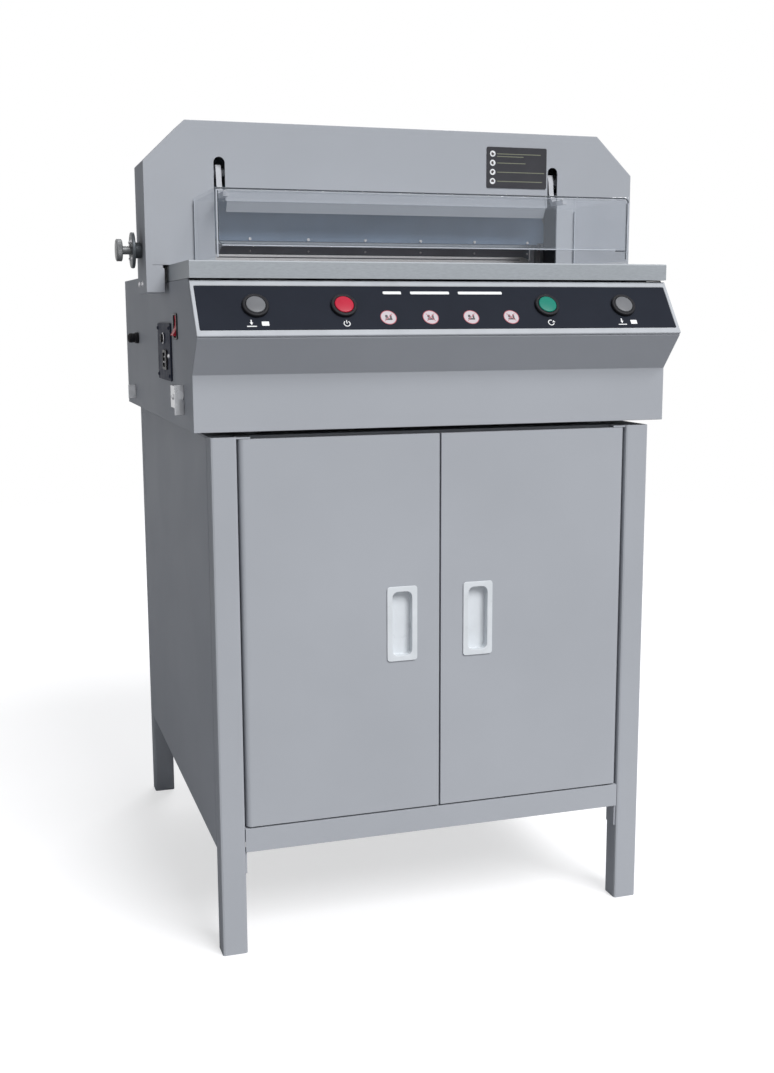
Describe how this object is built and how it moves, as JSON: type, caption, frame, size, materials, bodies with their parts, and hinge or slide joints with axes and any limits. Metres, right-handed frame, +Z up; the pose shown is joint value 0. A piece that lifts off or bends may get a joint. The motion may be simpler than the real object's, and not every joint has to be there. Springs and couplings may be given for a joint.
{
  "type": "electric paper cutting machine",
  "caption": "Electric guillotine paper cutter: blade and clamp in a portal head over an iron table, tilting clear guard, sloping control panel and a cabinet stand with doors.",
  "frame": {"origin": "middle of the machine's box, on the floor", "axes": "+Z up; -Y is the operator's side; +X is the operator's right"},
  "size_m": [0.7322, 0.729, 1.077],
  "materials": {
    "grey_paint": "satin light blue-grey powder coat",
    "pale_paint": "pale grey moulded frame",
    "table_paint": "ground and sealed grey cast table",
    "inner_paint": "dark grey painted iron",
    "inner_sheet": "dark grey painted sheet",
    "beam_paint": "dark blue-grey painted iron with bare bolts",
    "casting": "rough dark grey casting",
    "bright_steel": "machined bright steel",
    "blade_steel": "ground blade steel",
    "chrome": "polished chrome plate",
    "zinc_plate": "bright zinc plate",
    "motor_paint": "dark motor enamel",
    "panel_black": "dark panel overlay",
    "black_plastic": "black moulded plastic",
    "slate_plastic": "dark slate plastic",
    "handle_plastic": "pale grey moulded handle",
    "stick_plastic": "red cutting stick",
    "grey_button": "grey push button",
    "red_button": "red push button",
    "green_button": "green push button",
    "red_rocker": "red switch rocker",
    "clear_guard": "clear moulded guard"
  },
  "bodies": {
    "machine": {"leg_front_left": "grey_paint", "leg_front_right": "grey_paint", "leg_rear_left": "grey_paint", "leg_rear_right": "grey_paint", "stand_side_left": "grey_paint", "stand_side_right": "grey_paint", "stand_back": "grey_paint", "cabinet_floor": "grey_paint", "front_rail": "grey_paint", "stand_top": "grey_paint", "door_catch": "black_plastic", "housing_front": "grey_paint", "housing_side_left": "grey_paint", "housing_side_right": "grey_paint", "rear_panel": "grey_paint", "base_frame": "casting", "panel_bezel": "pale_paint", "panel_overlay": "panel_black", "collar_cut_left": "black_plastic", "collar_power": "black_plastic", "collar_reset": "black_plastic", "collar_cut_right": "black_plastic", "worktop": "table_paint", "cutting_stick": "stick_plastic", "head_wrap": "grey_paint", "head_front": "grey_paint", "head_rear": "grey_paint", "head_frame": "casting", "gearbox": "casting", "drive_motor": "motor_paint", "service_plate": "slate_plastic", "fuse_cap": "black_plastic", "switch_base": "black_plastic", "mains_inlet": "black_plastic", "side_bracket_front": "zinc_plate", "side_bracket_rear": "zinc_plate", "adjuster_flange": "zinc_plate", "control_box": "inner_sheet"},
    "door_left": {"door_left": "grey_paint", "handle_left": "handle_plastic"},
    "door_right": {"door_right": "grey_paint", "handle_right": "handle_plastic"},
    "guard": {"guard_shield": "clear_guard", "guard_hinge": "chrome"},
    "knife": {"knife_beam": "beam_paint", "knife_blade": "blade_steel", "pull_rod": "bright_steel"},
    "clamp": {"clamp_beam": "inner_paint"},
    "crank": {"drive_crank": "bright_steel"},
    "gauge": {"back_gauge": "inner_paint", "gauge_strip": "bright_steel", "gauge_carriage": "casting"},
    "screw": {"gauge_screw": "bright_steel", "gauge_handwheel": "black_plastic"},
    "button_cut_left": {"button_cut_left": "grey_button"},
    "button_power": {"button_power": "red_button"},
    "button_reset": {"button_reset": "green_button"},
    "button_cut_right": {"button_cut_right": "grey_button"},
    "rocker": {"switch_rocker": "red_rocker"},
    "adjuster": {"adjuster_knob": "bright_steel"}
  },
  "joints": [
    {"name": "door_left_hinge", "type": "hinge", "parent": "machine", "child": "door_left", "pos_m": [-0.24085, -0.3125, 0.42], "axis": [0, 0, -1], "range_deg": [0, 100]},
    {"name": "door_right_hinge", "type": "hinge", "parent": "machine", "child": "door_right", "pos_m": [0.27415, -0.3125, 0.42], "axis": [0, 0, 1], "range_deg": [0, 100]},
    {"name": "guard_hinge", "type": "hinge", "parent": "machine", "child": "guard", "pos_m": [0.00465, -0.1395, 1.014], "axis": [-1, 0, 0], "range_deg": [0, 80]},
    {"name": "knife_slide", "type": "slide", "parent": "machine", "child": "knife", "axis": [0.395, 0, -0.9187], "range_m": [0, 0.03396]},
    {"name": "clamp_slide", "type": "slide", "parent": "machine", "child": "clamp", "axis": [0, 0, -1], "range_m": [0, 0.03321]},
    {"name": "crank_turn", "type": "hinge", "parent": "machine", "child": "crank", "pos_m": [-0.24529, -0.1118, 0.77], "axis": [0, -1, 0], "range_deg": [0, 90]},
    {"name": "gauge_slide", "type": "slide", "parent": "machine", "child": "gauge", "axis": [0, 1, 0], "range_m": [0, 0.336]},
    {"name": "screw_turn", "type": "hinge", "parent": "machine", "child": "screw", "pos_m": [0.00465, 0.3405, 0.85], "axis": [0, 1, 0], "range_deg": [0, 6060]},
    {"name": "button_cut_left_push", "type": "slide", "parent": "machine", "child": "button_cut_left", "axis": [0, 0.808, -0.5893], "range_m": [0, 0.003], "stiffness_N_per_m": 400, "springref_m": -0.001},
    {"name": "button_power_push", "type": "slide", "parent": "machine", "child": "button_power", "axis": [0, 0.808, -0.5893], "range_m": [0, 0.003], "stiffness_N_per_m": 400, "springref_m": -0.001},
    {"name": "button_reset_push", "type": "slide", "parent": "machine", "child": "button_reset", "axis": [0, 0.808, -0.5893], "range_m": [0, 0.003], "stiffness_N_per_m": 400, "springref_m": -0.001},
    {"name": "button_cut_right_push", "type": "slide", "parent": "machine", "child": "button_cut_right", "axis": [0, 0.808, -0.5893], "range_m": [0, 0.003], "stiffness_N_per_m": 400, "springref_m": -0.001},
    {"name": "rocker_turn", "type": "hinge", "parent": "machine", "child": "rocker", "pos_m": [-0.30115, -0.2035, 0.8135], "axis": [0, -1, 0], "range_deg": [0, 25.3]},
    {"name": "adjuster_turn", "type": "hinge", "parent": "machine", "child": "adjuster", "pos_m": [-0.33285, -0.114, 0.913], "axis": [-1, 0, 0], "range_deg": [-90, 90]}
  ],
  "couplings": [
    {"joint": "clamp_slide", "follows": "knife_slide", "ratio": 0.9776},
    {"joint": "crank_turn", "follows": "knife_slide", "rad_per_m": 46.25},
    {"joint": "screw_turn", "follows": "gauge_slide", "rad_per_m": 314.16}
  ]
}
